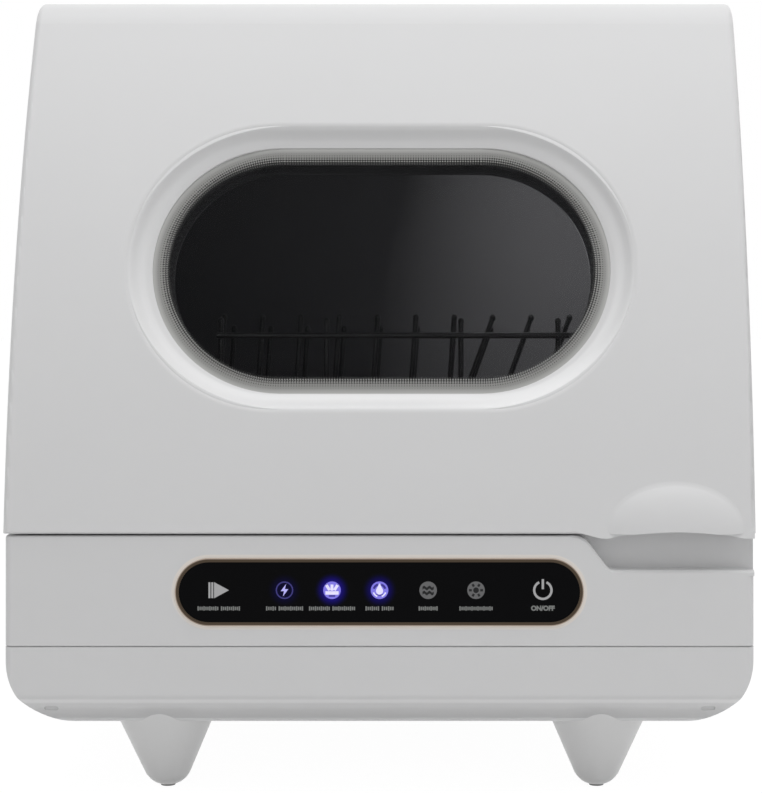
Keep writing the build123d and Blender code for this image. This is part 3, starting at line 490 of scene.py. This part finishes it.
def lit_print(name, colour):
    """Print lit from behind, with a faint cloudy tone."""
    finish = Finish(name, (0.02, 0.02, 0.02), 0.4, Specular_IOR_Level=0.05)
    return finish.glow(finish.grain(1.5) * 0.3, colour, darker(colour, 0.75))


def smoked_glass(name, body):
    """See-through dark glass. Gives the finish, its mirror-like skin and how far a slant shows that."""
    finish = Finish(name, GLASS_TINT, GLASS_ROUGHNESS, Alpha=body, Specular_IOR_Level=0.0)
    skin = finish.add("ShaderNodeBsdfPrincipled", None,
                      {"Base Color": (1, 1, 1, 1), "Metallic": 1.0, "Roughness": 0.03})
    slant = finish.value("ShaderNodeLayerWeight", output="Facing")
    return finish, skin, slant ** SLANT_POWER * SLANT_GLOSS


def inner_glass():
    """Plain inner pane of the door."""
    finish, skin, edge = smoked_glass("inner_window_glass", INNER_GLASS_BODY)
    finish.rough(finish.grain(30) * 0.02 + 0.03)
    return finish.cover(edge, skin)


def dotted_glass():
    """Smoked outer pane with a printed border of dots that shrink towards the middle."""
    finish, skin, edge = smoked_glass("outer_window_glass", GLASS_BODY)
    across, along = window_coordinates(finish)
    inside = inside_slot(across, along, CLEAR_LENGTH, CLEAR_HEIGHT)

    # Rows run inward, and steps run round the border's straight sides and round ends.
    half_straight = (CLEAR_LENGTH - CLEAR_HEIGHT) / 2
    past = (abs(across) - half_straight).above(0)
    round_end = along.angle_over(past) * (CLEAR_HEIGHT / 2)
    row = (inside / DOT_PITCH).fraction() - 0.5
    step = ((abs(across).below(half_straight) + round_end) / DOT_PITCH).fraction() - 0.5

    size = DOT_RADIUS - DOT_SHRINK * inside.ease(1, DOT_BORDER)
    dots = 1 - ((row * row + step * step).root() - size).ease(-0.1, 0.1)
    border = (1 - inside.ease(DOT_BORDER - 1, DOT_BORDER)) * dots
    paint = finish.blend_colours(inside.ease(0, PAINT_FADE), DOT_PAINT, DOT_PAINT_INSIDE)
    finish.tint(1 - border, paint, GLASS_TINT)
    finish.feed(finish.shader, {"Alpha": border * (1 - GLASS_BODY) + GLASS_BODY})
    finish.rough(border * 0.3 + GLASS_ROUGHNESS)
    return finish.cover(edge * (1 - border), skin)


# For moulded plastic: colour, roughness, size and depth of the grain, and how dark its cloud is.
# For drawn steel: colour, roughness, and how far each axis draws its lines out.
finishes = {
    "white_plastic": case_plastic("white_satin_plastic"),
    "liner_plastic": moulded("liner_dark_plastic", (0.1, 0.1, 0.105), 0.5, 0.7, 0.03),
    "tub_plastic": moulded("tub_grey_plastic", (0.11, 0.11, 0.115), 0.45, 1.2, 0.03, 0.08),
    "black_gloss": touch_lens(),
    "copper_trim": copper_rim(),
    "pad_rubber": moulded("pale_rubber", (0.4, 0.4, 0.4), 0.7, 0.5, 0.05, 0.1),
    "rubber": moulded("black_rubber", (0.03, 0.03, 0.03), 0.75, 0.5, 0.05, 0.2),
    "circuit_board": moulded("green_board", (0.02, 0.12, 0.05), 0.45, 2.5, 0.1, 0.4),
    "grey_plastic": moulded("grey_plastic", (0.17, 0.175, 0.18), 0.55, 0.8, 0.04, 0.1),
    "spray_plastic": moulded("spray_grey_plastic", (0.3, 0.31, 0.32), 0.42, 0.9, 0.02, 0.08),
    "filter_steel": strainer_steel(),
    "heater_steel": drawn_steel("heater_steel", (0.5, 0.5, 0.51), 0.35, (20, 1, 1)),
    "clear_plastic": moulded("milky_tank_plastic", (0.55, 0.6, 0.62), 0.35, 3.0, 0.05, 0.06),
    "fan_plastic": moulded("black_fan_plastic", (0.02, 0.02, 0.022), 0.5, 0.6, 0.03, 0.2),
    "hinge_steel": drawn_steel("zinc_plated_steel", (0.55, 0.56, 0.57), 0.32, (1, 9, 1)),
    "window_glass": inner_glass(),
    "black_wire": moulded("nylon_black_wire", (0.024, 0.024, 0.025), 0.3, 1.0, 0.04, 0.2),
}
# The legs get a lighter copy of the case plastic, as painted light.
leg_plastic_painted_light = case_plastic("leg_white_plastic_painted_light", LEG_PAINTED_LIGHT_WHITE)
own_finishes = {
    "outer_glass": dotted_glass(),
    # The door carries a painted highlight on the lower part of its window bezel.
    "door_shell": case_plastic("door_white_plastic", form=soft_bezel, mark=painted_sill_highlight),
    # The tray carries a painted highlight along its crease.
    "bottom_shell": case_plastic("tray_white_plastic", form=under_curve, mark=painted_crease_highlight),
    # The base carries a painted highlight round the panel's trim.
    "base_casing": case_plastic("base_white_plastic", mark=painted_lip_highlight),
    "leg_front_left": leg_plastic_painted_light,
    "leg_front_right": leg_plastic_painted_light,
    "leg_rear_left": leg_plastic_painted_light,
    "leg_rear_right": leg_plastic_painted_light,
}
prints = {name: lit_print("print_" + name, colour) for name, colour in PRINT_COLOURS.items()}


def dress_frame():
    """Gives every CAD node its own finish, or else that of its slot."""
    for part in frame["record"]["subparts"]:
        shown = frame["nodes"][part["node"]]
        finish = own_finishes.get(part["node"]) or finishes[part["material_slot"]]
        shown.data.materials.clear()
        shown.data.materials.append(finish.material)


# ------------------------------------------------------------ pieces and flat outlines

def add_piece(name, mesh, body, finish):
    """Puts a mesh in the scene as a piece that rides on a body."""
    piece = bpy.data.objects.new(name, mesh)
    bpy.context.scene.collection.objects.link(piece)
    piece.data.materials.append(finish.material)
    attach(piece, body)


def mesh_of(name, form):
    """The mesh of a finished form."""
    mesh = bpy.data.meshes.new(name)
    form.to_mesh(mesh)
    form.free()
    return mesh


def arc_points(radius, start, end, steps=40):
    """Points on a circle, from angle start to angle end in degrees."""
    angles = [math.radians(start + (end - start) * step / steps) for step in range(steps + 1)]
    return [(radius * math.cos(a), radius * math.sin(a)) for a in angles]


def band(inner, outer, start, end):
    """A piece of a ring, from angle start to angle end in degrees."""
    return [arc_points(outer, start, end) + arc_points(inner, end, start)]


def bar(centre, size, turn=0):
    """A plain rectangle turned by an angle in degrees."""
    spin = Matrix.Rotation(math.radians(turn), 2)
    corners = [(-0.5, -0.5), (0.5, -0.5), (0.5, 0.5), (-0.5, 0.5)]
    moved = [spin @ Vector((u * size[0], v * size[1])) for u, v in corners]
    return [[(p.x + centre[0], p.y + centre[1]) for p in moved]]


def printed(name, shapes, centre, finish, layer=1):
    """A thin raised print on the lens, from flat outlines round its centre."""
    form = bmesh.new()
    for outline in shapes:
        points = [((centre[0] + u) * MM, (centre[1] + v) * MM) for u, v in outline]
        front = [form.verts.new((x, lens_front - PRINT_PROUD * MM * layer, z)) for x, z in points]
        back = [form.verts.new((x, lens_front + PRINT_PROUD * MM, z)) for x, z in points]
        form.faces.new(front)
        form.faces.new(back[::-1])
        for here in range(len(points)):
            ahead = (here + 1) % len(points)
            form.faces.new((front[here], back[here], back[ahead], front[ahead]))
    bmesh.ops.recalc_face_normals(form, faces=form.faces)
    bmesh.ops.triangulate(form, faces=form.faces)
    add_piece(name, mesh_of(name, form), "cabinet", finish)


# ------------------------------------------------------------ panel prints

def start_symbol():
    """Two bars and a triangle."""
    triangle = [(-2.6, -4.5), (5.7, 0), (-2.6, 4.5)]
    return bar((-5.2, 0), (1.1, 8.8)) + bar((-3.6, 0), (1.1, 8.8)) + [triangle]


def spark():
    """A small lightning flash."""
    return [[(0.9, 3.5), (-2.1, -0.5), (-0.2, -0.5), (-0.9, -3.5), (2.1, 0.6), (0.2, 0.6)]]


def jets():
    """A spray arm's bar under three jets."""
    shapes = bar((0, -1.5), (7.4, 1.9))
    for lean in (-32, 0, 32):
        shapes += bar((lean * 0.07, 1.5), (1.6, 3.4), -lean)
    return shapes


def jet_gaps():
    """Shaded hollows beside the jets and under the arm."""
    return bar((-2.6, 2.2), (1.5, 2.2), 30) + bar((2.6, 2.2), (1.5, 2.2), -30) + bar((0, -3.2), (3.6, 0.9))


def drop():
    """A drop between two ripples."""
    body = [(u, v - 0.4) for u, v in arc_points(2.0, 150, 390, 24)] + [(0.0, 3.9)]
    return [body] + band(3.2, 4.0, 200, 250) + band(3.2, 4.0, 290, 340)


def drop_gaps():
    """Shaded rings round the drop."""
    return band(2.6, 3.9, 15, 75) + band(2.6, 3.9, 105, 165) + band(2.6, 3.1, 230, 310)


def waves():
    """Two level waves."""
    shapes = []
    for level in (-1.5, 1.3):
        upper = [(u / 3.8, level + 0.75 + 0.5 * math.sin(u * 0.55)) for u in range(-12, 13)]
        lower = [(u, v - 1.6) for u, v in reversed(upper)]
        shapes.append(upper + lower)
    return shapes


def rays():
    """A small sun."""
    shapes = [arc_points(1.6, 0, 345, 23)]
    for turn in range(0, 360, 60):
        angle = math.radians(turn)
        shapes += bar((3.15 * math.cos(angle), 3.15 * math.sin(angle)), (1.6, 1.3), turn)
    return shapes


def power_symbol():
    """An open ring with an upright bar."""
    return band(4.2, 5.5, 115, 425) + bar((0, 3.4), (1.3, 5.6))


def strokes(words):
    """Short upright strokes, one row for each word of a label, from the words' widths."""
    shapes = []
    left = -(sum(words) + STROKE_PITCH * (len(words) - 1)) / 2
    for width in words:
        count = round(width / STROKE_PITCH)
        for number in range(count):
            height = STROKE_SIZE[1] * (1.0 if number % 3 else TALL_STROKE)
            shapes += bar((left + (number + 0.5) * width / count, 0), (STROKE_SIZE[0], height))
        left += width + STROKE_PITCH
    return shapes


def make_panel_prints():
    """Symbols for the touch keys, layer on layer, and strokes where a key's label goes."""
    disc = [arc_points(SYMBOL_RADIUS, 0, 351, 39)]
    inner = SYMBOL_RADIUS - RIM_WIDTH
    rim = band(inner, SYMBOL_RADIUS, 0, 180) + band(inner, SYMBOL_RADIUS, 180, 360)
    symbols = {
        "start": [(start_symbol(), "white")],
        "quick": [(rim, "dim_blue"), (spark(), "spark")],
        "jets": [(disc, "blue"), (jet_gaps(), "deep_blue"), (jets(), "lit")],
        "fresh": [(disc, "blue"), (drop_gaps(), "deep_blue"), (drop(), "lit")],
        "dry": [(disc, "grey"), (waves(), "dark")],
        "hot": [(disc, "grey"), (rays(), "dark")],
        "power": [(power_symbol(), "white")],
    }
    for key, layers in symbols.items():
        for layer, (shapes, tone) in enumerate(layers):
            printed(f"symbol_{key}_{layer}", shapes, (KEY_X[key], SYMBOL_Z), prints[tone],
                    1 + LAYER_STEP * layer)
        if key in LABEL_WORDS:
            printed(f"label_{key}", strokes(LABEL_WORDS[key]), (KEY_X[key], LABEL_Z), prints["label"])


def make_power_words():
    """ON/OFF under the power symbol."""
    letters = bpy.data.curves.new("label_power", "FONT")
    letters.body = "ON/OFF"
    letters.size = LETTER_SIZE * MM
    letters.offset = LETTER_SWELL * MM
    letters.extrude = PRINT_PROUD * MM
    letters.align_x = "CENTER"
    letters.align_y = "CENTER"
    carrier = bpy.data.objects.new("label_power_outline", letters)
    bpy.context.scene.collection.objects.link(carrier)
    mesh = bpy.data.meshes.new_from_object(carrier.evaluated_get(bpy.context.evaluated_depsgraph_get()))
    bpy.data.objects.remove(carrier)
    mesh.transform(Matrix.Translation((KEY_X["power"] * MM, lens_front, LABEL_Z * MM))
                   @ Matrix.Rotation(math.radians(90), 4, "X"))
    mesh.materials.clear()
    add_piece("label_power", mesh, "cabinet", prints["label"])


# ------------------------------------------------------------ wire tips and hose thread

def make_wire_tips():
    """Round nylon blobs on the free ends of the wires."""
    tips = [(TINE_FIRST_X + TINE_PITCH * count, y, z) for y, z in TINE_ROWS for count in range(TINE_COUNT)]
    tips += [(x, *POST_TIP) for x in POST_X]
    form = bmesh.new()
    for x, y, z in tips:
        place = Matrix.Translation((x * MM, y * MM, z * MM)) @ Matrix.Diagonal((1, 1, TIP_STRETCH, 1))
        bmesh.ops.create_uvsphere(form, u_segments=14, v_segments=8, radius=TIP_RADIUS * MM, matrix=place)
    for face in form.faces:
        face.smooth = True
    add_piece("wire_tips", mesh_of("wire_tips", form), "rack", finishes["black_wire"])


def make_inlet_thread():
    """Helical ridge on the hose connection at the back."""
    _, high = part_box("inlet_valve")
    start = high.y - THREAD_START * MM
    turns = (high.y - THREAD_END * MM - start) / (THREAD_PITCH * MM)
    form = bmesh.new()
    loops = []
    for step in range(int(turns * THREAD_STEPS) + 1):
        angle = 2 * math.pi * step / THREAD_STEPS
        along = start + THREAD_PITCH * MM * step / THREAD_STEPS
        loop = []
        for radius, shift in THREAD_PROFILE:
            x = THREAD_CENTRE[0] * MM + radius * MM * math.cos(angle)
            z = THREAD_CENTRE[1] * MM + radius * MM * math.sin(angle)
            loop.append(form.verts.new((x, along + shift * MM, z)))
        loops.append(loop)
    for first, second in zip(loops, loops[1:]):
        for side in range(len(first)):
            after = (side + 1) % len(first)
            form.faces.new((first[side], first[after], second[after], second[side]))
    form.faces.new(loops[0])
    form.faces.new(loops[-1][::-1])
    bmesh.ops.recalc_face_normals(form, faces=form.faces)
    add_piece("inlet_thread", mesh_of("inlet_thread", form), "cabinet", finishes["grey_plastic"])


# ------------------------------------------------------------ camera, light and floor

def make_camera():
    """Camera in front, a little right of the middle, aimed level and framed by its shift."""
    data = bpy.data.cameras.new("front_camera")
    data.lens = 97.3
    data.sensor_width = 36.0
    data.shift_x = -0.0858
    data.shift_y = -0.1847
    camera = bpy.data.objects.new("front_camera", data)
    camera.location = (0.039, -1.419, 0.312)        # metres
    camera.rotation_euler = (math.radians(90), 0, 0)
    bpy.context.scene.collection.objects.link(camera)
    bpy.context.scene.camera = camera


def make_light():
    """Soft rectangular lamps, which no mirror-like surface shows."""
    for name, (place, aim, size, power) in SOFTBOXES.items():
        data = bpy.data.lights.new(name, "AREA")
        data.shape = "RECTANGLE"
        data.size, data.size_y = size
        data.energy = power
        lamp = bpy.data.objects.new(name, data)
        lamp.location = place
        lamp.rotation_euler = (Vector(aim) - Vector(place)).to_track_quat("-Z", "Y").to_euler()
        lamp.visible_camera = lamp.visible_glossy = lamp.visible_transmission = False
        bpy.context.scene.collection.objects.link(lamp)


def make_floor():
    """Pale floor that keeps the shadow; the camera sees it nearly white."""
    bpy.ops.mesh.primitive_plane_add(size=FLOOR_WIDTH, location=(0, 0, 0))
    floor = bpy.context.object
    floor.name = "studio_floor"
    finish = Finish("studio_floor_paint", (0.75, 0.75, 0.75), 0.8)
    finish.tint(finish.grain(400), (0.74, 0.74, 0.74), (0.76, 0.76, 0.76))
    light = finish.add("ShaderNodeEmission", None, {"Color": (1, 1, 1, 1), "Strength": FLOOR_GLOW})
    sight = finish.add("ShaderNodeLightPath").outputs
    seen = Value(finish, sight["Is Camera Ray"]).above(sight["Is Glossy Ray"])
    finish.cover(seen * FLOOR_GLOW_SHARE, light)
    floor.data.materials.append(finish.material)


def make_world():
    """White to the camera and in mirror-like surfaces, a softer grey as light."""
    world = bpy.data.worlds.new("studio_world")
    world.use_nodes = True
    bpy.context.scene.world = world
    nodes = Nodes(world.node_tree)
    sight = nodes.add("ShaderNodeLightPath").outputs
    seen = Value(nodes, sight["Is Camera Ray"]).above(sight["Is Glossy Ray"])
    seen = seen.above(sight["Is Transmission Ray"])
    nodes.feed(nodes.tree.nodes["Background"],
               {"Color": (1, 1, 1, 1), "Strength": seen * (1 - WORLD_LIGHT) + WORLD_LIGHT})


bpy.context.scene.view_settings.view_transform = "Standard"
make_camera()
dress_frame()
make_panel_prints()
make_power_words()
make_wire_tips()
make_inlet_thread()
make_floor()
make_light()
make_world()
